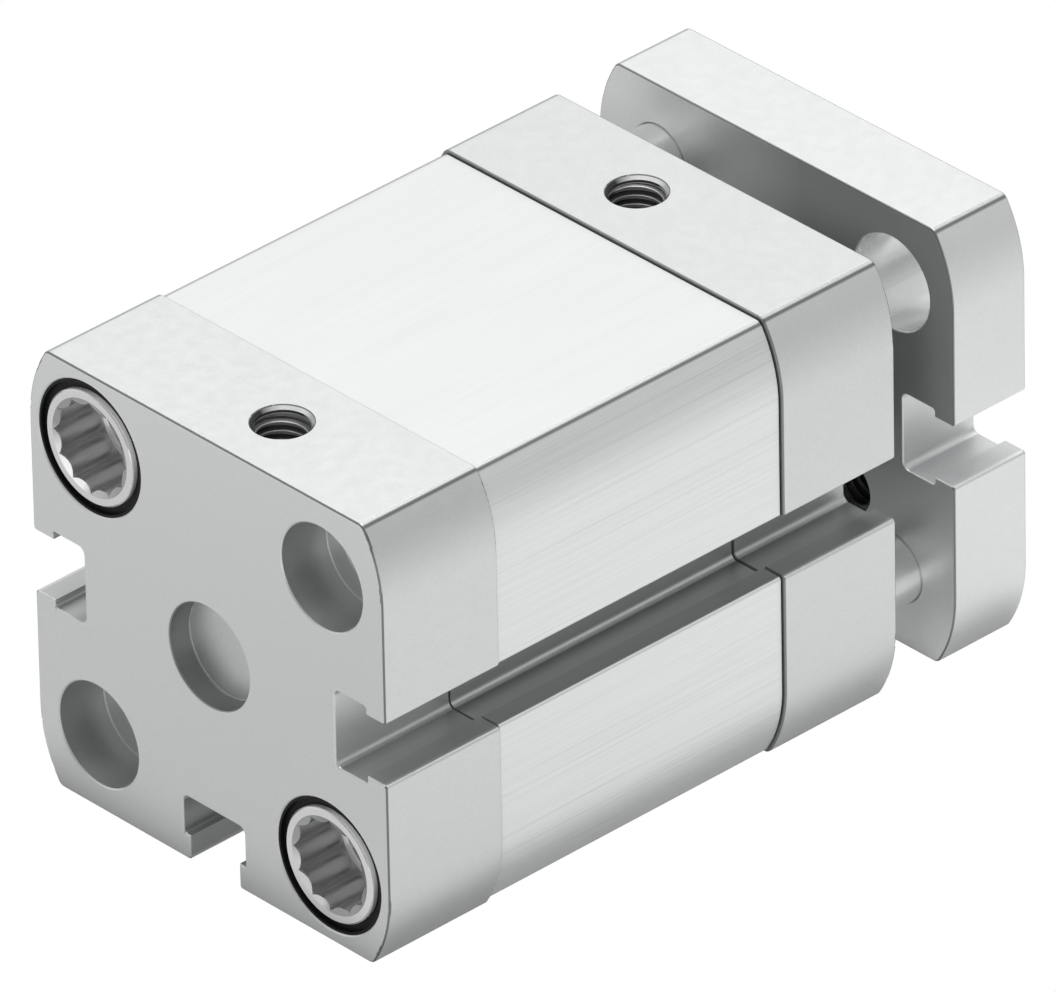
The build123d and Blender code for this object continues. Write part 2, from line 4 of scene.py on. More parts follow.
import bpy
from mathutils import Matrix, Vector


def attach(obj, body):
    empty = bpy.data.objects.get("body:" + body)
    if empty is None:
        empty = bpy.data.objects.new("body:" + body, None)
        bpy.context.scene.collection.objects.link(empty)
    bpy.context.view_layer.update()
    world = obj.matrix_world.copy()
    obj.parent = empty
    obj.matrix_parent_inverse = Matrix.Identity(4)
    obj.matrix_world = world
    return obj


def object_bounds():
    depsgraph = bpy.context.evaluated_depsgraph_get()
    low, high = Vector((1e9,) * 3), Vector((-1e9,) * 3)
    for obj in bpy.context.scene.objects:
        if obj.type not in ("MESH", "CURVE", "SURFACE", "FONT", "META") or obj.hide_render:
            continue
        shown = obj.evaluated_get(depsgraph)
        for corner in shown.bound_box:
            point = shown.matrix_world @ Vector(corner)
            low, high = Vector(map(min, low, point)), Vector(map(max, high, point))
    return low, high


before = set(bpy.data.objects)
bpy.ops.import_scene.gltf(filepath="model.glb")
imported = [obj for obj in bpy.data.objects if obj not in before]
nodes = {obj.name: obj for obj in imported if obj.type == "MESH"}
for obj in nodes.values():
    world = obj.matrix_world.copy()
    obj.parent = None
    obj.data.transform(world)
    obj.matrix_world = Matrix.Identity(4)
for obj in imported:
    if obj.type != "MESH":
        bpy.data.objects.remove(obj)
cad_box = [list(corner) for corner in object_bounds()]

# The camera stands behind the cylinder, to its right and above it, as far off as the photograph's,
# so that the parallel edges hardly converge.
camera_data = bpy.data.cameras.new("photo_camera")
camera_data.sensor_width = 36.0
camera_data.lens = 711.81
camera_data.clip_start = 0.1
camera_data.clip_end = 20.0
camera = bpy.data.objects.new("photo_camera", camera_data)
camera.location = (-0.893308, -0.999913, 0.857103)
camera.rotation_euler = [math.radians(angle) for angle in (57.82727, 0.97110, -43.43773)]
bpy.context.scene.collection.objects.link(camera)
bpy.context.scene.camera = camera
bpy.context.scene.view_settings.view_transform = "Standard"

# The world is a plain white studio. What the camera sees behind the part is pure white, and
# metal mirrors a white wall beyond the part and a greyer room behind the camera.
away_from_camera = Vector((0.66, 0.60, 0.35)).normalized()
room_end = -0.24
wall_start = 0.50
room_grey = 0.32
wall_white = 0.80
ambient = 0.32


def feed(tree, socket, value):
    if isinstance(value, (float, tuple)):
        socket.default_value = value
    else:
        tree.links.new(value, socket)


def figure(tree, operation, first, second=0.0):
    node = tree.nodes.new("ShaderNodeMath")
    node.operation = operation
    feed(tree, node.inputs[0], first)
    feed(tree, node.inputs[1], second)
    return node.outputs[0]


def vector_figure(tree, operation, first, second=(0.0, 0.0, 0.0)):
    node = tree.nodes.new("ShaderNodeVectorMath")
    node.operation = operation
    feed(tree, node.inputs[0], first)
    feed(tree, node.inputs[1], second)
    one_number = operation in ("DOT_PRODUCT", "LENGTH", "DISTANCE")
    return node.outputs["Value" if one_number else "Vector"]


def spread(tree, source, low, high, start=0.3, end=0.7, curve="LINEAR"):
    node = tree.nodes.new("ShaderNodeMapRange")
    node.interpolation_type = curve
    node.inputs["From Min"].default_value = start
    node.inputs["From Max"].default_value = end
    node.inputs["To Min"].default_value = low
    node.inputs["To Max"].default_value = high
    tree.links.new(source, node.inputs["Value"])
    return node.outputs["Result"]


def either(tree, amount, when_not, when_so):
    node = tree.nodes.new("ShaderNodeMix")
    node.data_type = "FLOAT"
    feed(tree, node.inputs["A"], when_not)
    feed(tree, node.inputs["B"], when_so)
    tree.links.new(amount, node.inputs["Factor"])
    return node.outputs[0]


world = bpy.data.worlds.new("white_studio")
world.use_nodes = True
bpy.context.scene.world = world
tree = world.node_tree
tree.nodes.clear()
sight = tree.nodes.new("ShaderNodeTexCoord").outputs["Generated"]
facing = vector_figure(tree, "DOT_PRODUCT", sight, tuple(away_from_camera))
wall = spread(tree, facing, room_grey, wall_white, room_end, wall_start, curve="SMOOTHSTEP")
ray = tree.nodes.new("ShaderNodeLightPath").outputs
mirrored = figure(tree, "MAXIMUM", ray["Is Glossy Ray"], ray["Is Transmission Ray"])
unseen = either(tree, mirrored, ambient, wall)
studio = tree.nodes.new("ShaderNodeBackground")
studio.inputs["Color"].default_value = (1.0, 1.0, 1.0, 1.0)
tree.links.new(either(tree, ray["Is Camera Ray"], unseen, 1.0), studio.inputs["Strength"])
sky = tree.nodes.new("ShaderNodeOutputWorld")
tree.links.new(studio.outputs[0], sky.inputs["Surface"])

# Two soft lamps: a large one overhead that makes the top face the lightest, and one behind and
# above that reaches into the recesses of the rear face and that metal doesn't mirror.
middle = Vector((0.034, 0.0, 0.0))


def soft_lamp(name, place, size, power):
    lamp = bpy.data.lights.new(name, "AREA")
    lamp.shape = "SQUARE"
    lamp.size = size
    lamp.energy = power
    holder = bpy.data.objects.new(name, lamp)
    holder.location = place
    holder.rotation_euler = (middle - Vector(place)).to_track_quat("-Z", "Y").to_euler()
    bpy.context.scene.collection.objects.link(holder)
    return holder


soft_lamp("overhead_lamp", (0.10, 0.10, 0.80), size=0.60, power=3.95)
rear_lamp = soft_lamp("rear_lamp", (-0.675, -0.34, 0.49), size=0.30, power=3.1)
rear_lamp.visible_glossy = False

# The floor is a sheet of white paper a hair's breadth under the part, seen from above only. The
# camera sees it pure white. Metal mirrors it as a painted glow: greyer, darkest in a painted
# shadow round the part, darker to the left of the part and ahead of it, lighter to its right and
# behind it, and lighter in a painted strip across the floor under the gap before the plate.
floor_size = 6.0
under_part = 0.00002
half_length = cad_box[1][0] / 2
half_width = cad_box[1][1]
underside = cad_box[0][2]
open_floor = 0.82
shaded_floor = 0.34
shade_reach = 0.005
left_share = 0.76
right_share = 1.14
left_end = -0.04
right_end = 0.06
far_behind = 0.48
far_ahead = -0.28
behind_end = -0.15
ahead_start = 0.05
far_start = 0.03
far_end = 0.12
gap_floor = 0.45
gap_middle = 0.057
gap_half_width = 0.002
gap_fade = 0.006


def blend(tree, amount, when_not, when_so):
    node = tree.nodes.new("ShaderNodeMixShader")
    tree.links.new(amount, node.inputs["Fac"])
    tree.links.new(when_not, node.inputs[1])
    tree.links.new(when_so, node.inputs[2])
    return node.outputs[0]


bpy.ops.object.select_all(action="DESELECT")
bpy.ops.mesh.primitive_plane_add(size=floor_size, location=(0.0, 0.0, underside - under_part))
floor = bpy.context.object
floor.name = "floor"
paper = bpy.data.materials.new("white_paper")
paper.use_nodes = True
tree = paper.node_tree
shader = tree.nodes["Principled BSDF"]
shader.inputs["Base Color"].default_value = (0.90, 0.90, 0.90, 1.0)
shader.inputs["Roughness"].default_value = 0.9
ray = tree.nodes.new("ShaderNodeLightPath").outputs
here = tree.nodes.new("ShaderNodeNewGeometry").outputs
from_middle = vector_figure(tree, "SUBTRACT", here["Position"], (half_length, 0.0, underside))
past_edge = vector_figure(tree, "SUBTRACT", vector_figure(tree, "ABSOLUTE", from_middle),
                          (half_length, half_width, 0.0))
away = vector_figure(tree, "LENGTH", vector_figure(tree, "MAXIMUM", past_edge))
along = vector_figure(tree, "DOT_PRODUCT", here["Position"], (1.0, 0.0, 0.0))
to_right = vector_figure(tree, "DOT_PRODUCT", from_middle, (math.sqrt(0.5), -math.sqrt(0.5), 0.0))
near_light = figure(tree, "MULTIPLY",
                    spread(tree, away, shaded_floor, open_floor, 0.0, shade_reach),
                    spread(tree, to_right, left_share, right_share, left_end, right_end))
far_light = figure(tree, "MULTIPLY",
                   spread(tree, away, 0.0, 1.0, far_start, far_end),
                   spread(tree, along, far_behind, far_ahead, behind_end, ahead_start))
from_gap = figure(tree, "ABSOLUTE", figure(tree, "SUBTRACT", along, gap_middle))
gap_light = spread(tree, from_gap, gap_floor, 0.0, gap_half_width, gap_fade)
mirrored_light = figure(tree, "MAXIMUM", figure(tree, "ADD", near_light, far_light), gap_light)
white = tree.nodes.new("ShaderNodeEmission")
tree.links.new(either(tree, ray["Is Camera Ray"], mirrored_light, 1.0), white.inputs["Strength"])
seen = figure(tree, "MAXIMUM", ray["Is Camera Ray"], ray["Is Glossy Ray"])
from_above = blend(tree, seen, shader.outputs[0], white.outputs[0])
clear = tree.nodes.new("ShaderNodeBsdfTransparent")
from_both = blend(tree, here["Backfacing"], from_above, clear.outputs[0])
tree.links.new(from_both, tree.nodes["Material Output"].inputs["Surface"])
floor.data.materials.append(paper)

# Rear cap, front cap and yoke plate are milled from aluminium bar, fine-blasted and anodised
# clear. The blasting leaves a very fine grain and no direction. Painted shade makes the bores
# and slots darker than the outer faces, and also darkens the crown and outline roundings, the
# rear cap's centre recess, the front cap's ledge and part of the plate's back.
half_section = 0.01975
corner_hole = 0.013
hole_margin = 0.00003
arc_middle_y = 0.00775
arc_middle_z = 0.013
arc_radius = 0.012
outline_width = 0.00025
outline_from = (0.2, 0.4)
outline_to = (0.9, 0.98)
outline_shade = 0.30
crown_height = 0.0190
crown_from = (0.58, 0.70)
crown_to = (0.84, 0.95)
crown_shade = 0.25
top_line = (0.98, 0.999)
top_line_share = 0.45
end_tilt = 0.3
front_joint = 0.04185
ledge_end = front_joint + 0.00015
skin_start = front_joint + 0.00018
ledge_shade = 0.36
recess_radius = 0.00455
recess_wall_shade = 0.42
recess_floor_radius = 0.0044
recess_floor_shade = 0.90
plate_back = 0.0602
plate_back_shade = 0.50
plate_shade_right = (-0.003, 0.008)
plate_shade_up = (-0.012, 0.002)
plate_bore_gloss = -0.16
blasted_roughness = (0.38, 0.44)
slot_mouth = 0.00278
slot_inner = 0.00348
slot_floor = 0.01400
slot_heel = 0.01758
slot_neck = 0.0192
slot_lip_edge = 0.0196
# How much painted shade darkens a slot, from its floor, at 0, to the outer face, at 1
slot_steps = ((0.03, 0.0), (0.075, 0.0), (0.11, 1.0), (0.17, 0.90), (0.32, 0.50),
              (0.60, 0.42), (0.64, 0.62), (1.0, 0.85))
along_x = (0.0, 1.0, 1.0)
milled = {
    "rear_cap": {
        "metallic": 0.88, "dark": 0.775, "light": 0.815, "hole_shade": 0.83,
        "slot_shade": 0.58, "slot_floor": 0.0,
        "holes": ((0.0045, corner_hole, -corner_hole), (0.0045, -corner_hole, corner_hole))},
    "front_cap": {
        "metallic": 0.75, "dark": 0.76, "light": 0.80, "hole_shade": 0.80,
        "slot_shade": 0.45, "slot_floor": 0.35,
        "holes": ((0.0081, 0.0, 0.0),)},
    "yoke_plate": {
        "metallic": 0.75, "dark": 0.84, "light": 0.88, "hole_shade": 0.98,
        "slot_shade": 0.80, "slot_floor": 0.10,
        "holes": ((0.006, 0.0, 0.0), (0.0042, corner_hole, -corner_hole),
                  (0.0042, -corner_hole, corner_hole))},
}


def grey(value):
    return (value, value, value)


def silver(value):
    return (value, value + 0.01, value + 0.01)


def give(material, *names):
    for name in names:
        piece = nodes[name]
        piece.data.materials.clear()
        piece.data.materials.append(material)


def finish_named(name, metallic):
    material = bpy.data.materials.new(name)
    material.use_nodes = True
    shader = material.node_tree.nodes["Principled BSDF"]
    shader.inputs["Metallic"].default_value = metallic
    return material, material.node_tree, shader


def grain(tree, scale, stretch=(1.0, 1.0, 1.0), detail=3.0):
    place = tree.nodes.new("ShaderNodeTexCoord")
    stretcher = tree.nodes.new("ShaderNodeMapping")
    stretcher.inputs["Scale"].default_value = stretch
    noise = tree.nodes.new("ShaderNodeTexNoise")
    noise.inputs["Scale"].default_value = scale
    noise.inputs["Detail"].default_value = detail
    tree.links.new(place.outputs["Object"], stretcher.inputs["Vector"])
    tree.links.new(stretcher.outputs["Vector"], noise.inputs["Vector"])
    return noise.outputs["Fac"]


def ramp(tree, source, steps):
    node = tree.nodes.new("ShaderNodeValToRGB")
    marks = node.color_ramp.elements
    for mark, (position, colour) in ((marks[0], steps[0]), (marks[1], steps[-1])):
        mark.position = position
        mark.color = (*colour, 1.0)
    for position, colour in steps[1:-1]:
        marks.new(position).color = (*colour, 1.0)
    tree.links.new(source, node.inputs["Fac"])
    return node.outputs["Color"]


def mottle(tree, source, dark, light):
    return ramp(tree, source, ((0.3, dark), (0.7, light)))


def darken(tree, colour, amount, shade):
    node = tree.nodes.new("ShaderNodeMix")
    node.data_type = "RGBA"
    node.blend_type = "MULTIPLY"
    node.inputs["B"].default_value = (*shade, 1.0)
    tree.links.new(amount, node.inputs["Factor"])
    tree.links.new(colour, node.inputs["A"])
    return node.outputs["Result"]


def relief(tree, shader, source, depth, strength):
    bump = tree.nodes.new("ShaderNodeBump")
    bump.inputs["Distance"].default_value = depth
    bump.inputs["Strength"].default_value = strength
    tree.links.new(source, bump.inputs["Height"])
    tree.links.new(bump.outputs["Normal"], shader.inputs["Normal"])


def largest(tree, top, *values):
    for value in values:
        top = figure(tree, "MAXIMUM", top, value)
    return top


def product(tree, total, *values):
    for value in values:
        total = figure(tree, "MULTIPLY", total, value)
    return total


def axes_of(tree, output):
    place = tree.nodes.new("ShaderNodeTexCoord")
    apart = tree.nodes.new("ShaderNodeSeparateXYZ")
    tree.links.new(place.outputs[output], apart.inputs["Vector"])
    return apart.outputs["X"], apart.outputs["Y"], apart.outputs["Z"]


def beyond(tree, start, end):
    return spread(tree, axes_of(tree, "Object")[0], 0.0, 1.0, start, end)


def from_axis(tree, across, centre):
    place = tree.nodes.new("ShaderNodeTexCoord").outputs["Object"]
    flat = vector_figure(tree, "MULTIPLY", place, across)
    return vector_figure(tree, "DISTANCE", flat, centre)


def in_hole(tree, radius, y, z):
    return figure(tree, "LESS_THAN", from_axis(tree, along_x, (0.0, y, z)), radius + hole_margin)


def in_slots(tree, floor_amount):
    steps = ((0.0, floor_amount), (0.008, floor_amount), *slot_steps)
    y, z = axes_of(tree, "Object")[1:]
    sideways = figure(tree, "ABSOLUTE", y)
    upright = figure(tree, "ABSOLUTE", z)
    downwards = figure(tree, "MULTIPLY", z, -1.0)
    found = []
    for outwards, across in ((sideways, upright), (downwards, sideways)):
        head = product(tree, figure(tree, "LESS_THAN", across, slot_inner),
                       figure(tree, "LESS_THAN", outwards, slot_heel))
        neck = product(tree, figure(tree, "LESS_THAN", across, slot_mouth),
                       spread(tree, outwards, 1.0, 0.0, slot_neck, slot_lip_edge))
        depth = product(tree, largest(tree, head, neck),
                        figure(tree, "GREATER_THAN", outwards, slot_floor))
        climb = spread(tree, outwards, 0.0, 1.0, slot_floor, half_section)
        shade = ramp(tree, climb, [(position, grey(amount)) for position, amount in steps])
        found.append(product(tree, depth, shade))
    return largest(tree, *found)


# The crown is the narrow rounding between the corner arc and the top or underside; painted shade
# darkens it.
def on_crown(tree):
    height = figure(tree, "ABSOLUTE", axes_of(tree, "Object")[2])
    normal = axes_of(tree, "Normal")
    endways = figure(tree, "ABSOLUTE", normal[0])
    upright = figure(tree, "ABSOLUTE", normal[2])
    return product(tree, figure(tree, "GREATER_THAN", height, crown_height),
                   figure(tree, "LESS_THAN", endways, end_tilt),
                   spread(tree, upright, 0.0, 1.0, *crown_from),
                   largest(tree, spread(tree, upright, 1.0, 0.0, *crown_to),
                           spread(tree, upright, top_line_share, 0.0, *top_line)))


# The outline is the broken edge all round an end face, where it turns into the long faces; painted
# shade darkens it.
def on_outline(tree):
    y, z = [figure(tree, "ABSOLUTE", axis) for axis in axes_of(tree, "Object")[1:]]
    endways = figure(tree, "ABSOLUTE", axes_of(tree, "Normal")[0])
    up = figure(tree, "MAXIMUM", figure(tree, "SUBTRACT", z, arc_middle_z), 0.0)
    aside = figure(tree, "SUBTRACT", y, arc_middle_y)
    reach = figure(tree, "SQRT", figure(tree, "ADD", product(tree, up, up),
                                        product(tree, aside, aside)))
    near = largest(tree, figure(tree, "GREATER_THAN", z, half_section - outline_width),
                   figure(tree, "GREATER_THAN", reach, arc_radius - outline_width))
    return product(tree, near, spread(tree, endways, 0.0, 1.0, *outline_from),
                   spread(tree, endways, 1.0, 0.0, *outline_to))


for name, look in milled.items():
    anodised, tree, shader = finish_named(name + "_anodised", look["metallic"])
    blasting = grain(tree, scale=5000.0)
    bored = largest(tree, *[in_hole(tree, *hole) for hole in look["holes"]])
    slots = in_slots(tree, look["slot_floor"])
    edges = on_outline(tree)
    if name == "front_cap":
        edges = product(tree, edges, beyond(tree, ledge_end, skin_start))
    colour = mottle(tree, blasting, silver(look["dark"]), silver(look["light"]))
    # Painted shade in the bores and slots, on the crown and on the outline
    colour = darken(tree, colour, bored, grey(look["hole_shade"]))
    colour = darken(tree, colour, slots, silver(look["slot_shade"]))
    colour = darken(tree, colour, on_crown(tree), silver(crown_shade))
    colour = darken(tree, colour, edges, silver(outline_shade))
    roughness = spread(tree, grain(tree, scale=900.0), *blasted_roughness)
    # Painted shade on the wall and floor of the rear cap's centre recess
    if name == "rear_cap":
        recess = in_hole(tree, recess_radius, 0.0, 0.0)
        recess_floor = in_hole(tree, recess_floor_radius, 0.0, 0.0)
        recess_wall = figure(tree, "SUBTRACT", recess, recess_floor)
        colour = darken(tree, colour, recess_wall, silver(recess_wall_shade))
        colour = darken(tree, colour, recess_floor, grey(recess_floor_shade))
    # Painted shade on the front cap's ledge at its joint with the barrel
    if name == "front_cap":
        ledge = beyond(tree, skin_start, ledge_end)
        colour = darken(tree, colour, ledge, silver(ledge_shade))
    # On the plate's back a painted shadow of the front cap darkens the right part; its bores are
    # glossier
    if name == "yoke_plate":
        x, y, z = axes_of(tree, "Object")
        shaded_right = product(tree, figure(tree, "LESS_THAN", x, plate_back),
                               spread(tree, y, 1.0, 0.0, *plate_shade_right),
                               spread(tree, z, 0.0, 1.0, *plate_shade_up))
        colour = darken(tree, colour, shaded_right, silver(plate_back_shade))
        roughness = figure(tree, "ADD", roughness, product(tree, bored, plate_bore_gloss))
    tree.links.new(colour, shader.inputs["Base Color"])
    tree.links.new(roughness, shader.inputs["Roughness"])
    relief(tree, shader, blasting, depth=0.00002, strength=0.12)
    give(anodised, name)

# The barrel is an extruded aluminium profile, brushed along its length and then anodised, so it
# shows fine straight lines that run with the axis. The spigots of both caps hold its ends.
rear_joint = 0.01185
rear_line = (rear_joint + 0.00015, rear_joint + 0.00011)
rear_line_shade = 0.35
front_line = (front_joint - 0.00016, front_joint - 0.00014)
front_line_shade = 0.02
barrel_slot_floor = 0.45
barrel_slot_shade = 0.335
top_turn = (0.7, 0.95)
lines_on_top = 0.3
deep_line_noise = (0.60, 0.68)
deep_line_shade = 0.92
brushed, tree, shader = finish_named("brushed_aluminium", 0.75)
upright = figure(tree, "ABSOLUTE", axes_of(tree, "Normal")[2])
line_strength = spread(tree, upright, 1.0, lines_on_top, *top_turn)
lines = grain(tree, scale=12000.0, stretch=(0.006, 1.0, 1.0))
seen_lines = figure(tree, "ADD", product(tree, figure(tree, "SUBTRACT", lines, 0.5),
                                         line_strength), 0.5)
wide_lines = grain(tree, scale=4200.0, stretch=(0.004, 1.0, 1.0), detail=2.0)
deep_lines = product(tree, spread(tree, wide_lines, 0.0, 1.0, *deep_line_noise), line_strength)
colour = mottle(tree, seen_lines, dark=silver(0.85), light=silver(0.94))
colour = darken(tree, colour, deep_lines, grey(deep_line_shade))
# Painted shade darkens the slots, the crown roundings and the barrel's rims at both joints, nearly
# black at the front joint
colour = darken(tree, colour, in_slots(tree, barrel_slot_floor), silver(barrel_slot_shade))
colour = darken(tree, colour, on_crown(tree), silver(crown_shade))
colour = darken(tree, colour, beyond(tree, *rear_line), silver(rear_line_shade))
colour = darken(tree, colour, beyond(tree, *front_line), grey(front_line_shade))
tree.links.new(colour, shader.inputs["Base Color"])
tree.links.new(spread(tree, lines, low=0.33, high=0.40), shader.inputs["Roughness"])
relief(tree, shader, lines, depth=0.00002, strength=0.3)
give(brushed, "barrel")

# The hollow collar screws are turned from stainless steel and left bright, with a twelve-point
# socket in the head. They screw the caps to the barrel, and the guide rods run through them.
socket_radius = 0.00417
socket_start = (0.00030, 0.00035)
socket_end = (0.00480, 0.00465)
socket_shade = 0.80
socket_roughness = 0.13
head_radius = 0.00483
head_end = (0.00200, 0.00190)
head_roughness = 0.22
head_metallic = 0.05
cone_from = (-0.985, -0.965)
cone_to = -0.8
down_turn = (-0.05, 0.10)
left_turn = (-0.08, 0.0)
lit_way = (0.0, -0.68, 0.73)
lit_turn = (0.62, 0.85)
painted_shade_tone = 0.50
steel, tree, shader = finish_named("bright_steel", 1.0)
turning = grain(tree, scale=4000.0)


def turned_to(tree, direction):
    normal = tree.nodes.new("ShaderNodeTexCoord").outputs["Normal"]
    return vector_figure(tree, "DOT_PRODUCT", normal, direction)


from_screw = figure(tree, "MINIMUM", *[from_axis(tree, along_x, (0.0, place, place))
                                       for place in (corner_hole, -corner_hole)])
in_socket = product(tree, figure(tree, "LESS_THAN", from_screw, socket_radius),
                    beyond(tree, *socket_start), beyond(tree, *socket_end))
head_side = product(tree, figure(tree, "GREATER_THAN", from_screw, head_radius),
                    beyond(tree, *head_end))
endways, sideways, upright = axes_of(tree, "Normal")
facing_down = spread(tree, upright, 1.0, 0.0, *down_turn)
facing_left = spread(tree, sideways, 0.0, 1.0, *left_turn)
painted_cone_shade = product(tree, spread(tree, endways, 0.0, 1.0, *cone_from),
                    figure(tree, "LESS_THAN", endways, cone_to),
                    largest(tree, facing_down, facing_left))
unlit = spread(tree, turned_to(tree, lit_way), 1.0, 0.0, *lit_turn)
painted_side_shade = product(tree, head_side, unlit)
# Painted shade darkens the socket, the sectors of the head's cone that face down or to the left,
# and the head's side except where it faces up and to the right
colour = mottle(tree, turning, dark=grey(0.87), light=grey(0.92))
colour = darken(tree, colour, in_socket, grey(socket_shade))
colour = darken(tree, colour, painted_cone_shade, silver(painted_shade_tone))
colour = darken(tree, colour, painted_side_shade, silver(painted_shade_tone))
tree.links.new(colour, shader.inputs["Base Color"])
rougher = largest(tree, product(tree, head_side, head_roughness),
                  product(tree, in_socket, socket_roughness))
tree.links.new(figure(tree, "ADD", spread(tree, turning, low=0.16, high=0.24), rougher),
               shader.inputs["Roughness"])
metal = spread(tree, head_side, 1.0, head_metallic, 0.0, 1.0)
tree.links.new(metal, shader.inputs["Metallic"])
give(steel, "rear_collar_screws", "front_collar_screws")


# The head seals, the rod seal, the wipers and the rings are moulded black rubber. They are
# pressed into their recesses and grooves, some of them out of sight.
def even_finish(name, metallic, scale, dark, light, smooth, rough, stretch=(1.0, 1.0, 1.0),
                detail=3.0, pits=None, gloss=0.5):
    material, tree, shader = finish_named(name, metallic)
    shader.inputs["Specular IOR Level"].default_value = gloss
    speckle = grain(tree, scale, stretch, detail)
    tree.links.new(mottle(tree, speckle, dark, light), shader.inputs["Base Color"])
    tree.links.new(spread(tree, speckle, smooth, rough), shader.inputs["Roughness"])
    if pits:
        relief(tree, shader, speckle, *pits)
    return material


rubber = even_finish("black_rubber", metallic=0.0, scale=3500.0, dark=grey(0.004),
                     light=grey(0.008), smooth=0.5, rough=0.65, pits=(0.00002, 0.2), gloss=0.25)
give(rubber, "rear_head_seals", "front_head_seals", "rod_seal", "guide_rod_wipers",
     "rear_o_ring", "front_o_ring", "piston_seal")

# The cushions are rings moulded from amber polyurethane. One sits at the inner end of each cap,
# where the piston comes to rest against it.
amber = even_finish("amber_polyurethane", metallic=0.0, scale=2500.0, dark=(0.42, 0.22, 0.05),
                    light=(0.48, 0.26, 0.07), smooth=0.4, rough=0.5)
give(amber, "rear_cushion", "front_cushion")

# The bearing bushes are sintered bronze, porous and oiled. One is pressed into the front cap
# for the piston rod, and two in the barrel guide each guide rod.
bronze = even_finish("sintered_bronze", metallic=1.0, scale=6000.0, dark=(0.42, 0.27, 0.13),
                     light=(0.56, 0.38, 0.20), smooth=0.38, rough=0.5, detail=5.0,
                     pits=(0.00003, 0.3))
give(bronze, "rod_bush", "rear_guide_bushes", "front_guide_bushes")

# The piston is turned from aluminium. Grooves round it hold its seal, a guide ring of plastic
# and a dark magnet of bonded ferrite for the sensors.
turned = even_finish("turned_aluminium", metallic=1.0, scale=3000.0, dark=silver(0.74),
                     light=silver(0.80), smooth=0.26, rough=0.36, stretch=(1.0, 0.05, 0.05))
give(turned, "piston")
plastic = even_finish("guide_ring_plastic", metallic=0.0, scale=3000.0,
                      dark=(0.30, 0.28, 0.22), light=(0.36, 0.33, 0.26), smooth=0.42, rough=0.52)
give(plastic, "piston_guide_ring")
ferrite = even_finish("bonded_ferrite", metallic=0.0, scale=5000.0,
                      dark=(0.035, 0.035, 0.038), light=(0.06, 0.06, 0.065), smooth=0.5,
                      rough=0.62)
give(ferrite, "piston_magnet")

# The piston rod and the guide rods are steel, ground, hard-chromed and polished. Their front
# ends seat in the back of the yoke plate, where screws hold them.
chrome = even_finish("polished_chrome", metallic=1.0, scale=2500.0, dark=grey(0.87),
                     light=grey(0.90), smooth=0.05, rough=0.09, stretch=(1.0, 0.2, 0.2))
give(chrome, "piston_rod", "guide_rods")

# The screws of the yoke plate and of the piston are blackened steel. They join the plate to
# the three rods and the piston to its rod.
blackened = even_finish("blackened_steel", metallic=1.0, scale=4500.0, dark=grey(0.10),
                        light=grey(0.15), smooth=0.32, rough=0.42)
give(blackened, "rod_screw", "guide_rod_screws", "piston_screw")

# Each port is tapped M5 with a pitch of 0.8 mm. The ridge of the thread stands in the bore that
# the frame has at the thread's outer diameter, below a countersunk mouth with a short plain neck.
base_share = 0.44
crest_share = 0.125
turn_steps = 64
run_out_steps = 16
ring_steps = 96
sharp_edge = 35.0
thread_outer = 0.00251
thread_inner = 0.002067
thread_pitch = 0.0008
crest_radius = 0.00212
crest_light = 0.4
neck_radius = 0.00225
mouth_start = -0.00007
cone_end = mouth_start - (thread_outer - neck_radius)
neck_end = -0.00064
mouth_margin = 0.00001
mouth_shade = 0.35
lip_height = 0.00009
cone_tilt = 0.3
front_way = (-0.89, -0.45, 0.0)
right_way = (-0.87, 0.50, 0.0)
cone_front_turn = (0.30, 0.66)
cone_right_turn = (0.60, 0.69)
cone_right_light = 0.5
neck_turn = (0.86, 0.96)
neck_dim = 0.08
along_z = (1.0, 1.0, 0.0)
port_threads = {"rear_port_thread": (0.00582, -0.00262, 6.08),
                "front_port_thread": (0.04803, 0.00262, 6.5)}


def thread_ridge(name, outer, inner, pitch, turns):
    base = base_share * pitch
    crest = crest_share * pitch
    steps = round(turn_steps * turns)
    bpy.ops.object.select_all(action="DESELECT")
    bpy.ops.mesh.primitive_plane_add(size=1.0, location=(0.0, 0.0, 0.0))
    ridge = bpy.context.object
    ridge.name = name
    flank = {(-1, -1): (inner, -crest), (1, -1): (outer, -base),
             (1, 1): (outer, base), (-1, 1): (inner, crest)}
    for point in ridge.data.vertices:
        radius, height = flank[(round(2 * point.co.x), round(2 * point.co.y))]
        point.co = (radius, 0.0, height)
    bpy.ops.object.mode_set(mode="EDIT")
    bpy.ops.mesh.select_all(action="SELECT")
    bpy.ops.mesh.delete(type="ONLY_FACE")
    bpy.ops.object.mode_set(mode="OBJECT")
    helix = ridge.modifiers.new("helix", "SCREW")
    helix.axis = "Z"
    helix.angle = math.tau * turns
    helix.screw_offset = pitch * turns
    helix.steps = steps
    helix.render_steps = steps
    bpy.ops.object.modifier_apply(modifier="helix")
    for point in ridge.data.vertices:
        step = point.index // len(flank)
        full = min(1.0, step / run_out_steps, (steps - step) / run_out_steps)
        centre = pitch * step / turn_steps
        radius = math.hypot(point.co.x, point.co.y)
        shrunk = (outer - (outer - radius) * full) / radius
        point.co = (point.co.x * shrunk, point.co.y * shrunk, centre + (point.co.z - centre) * full)
    bpy.ops.object.mode_set(mode="EDIT")
    bpy.ops.mesh.select_all(action="SELECT")
    bpy.ops.mesh.remove_doubles(threshold=0.0000001)
    bpy.ops.mesh.normals_make_consistent(inside=False)
    bpy.ops.object.mode_set(mode="OBJECT")
    return ridge


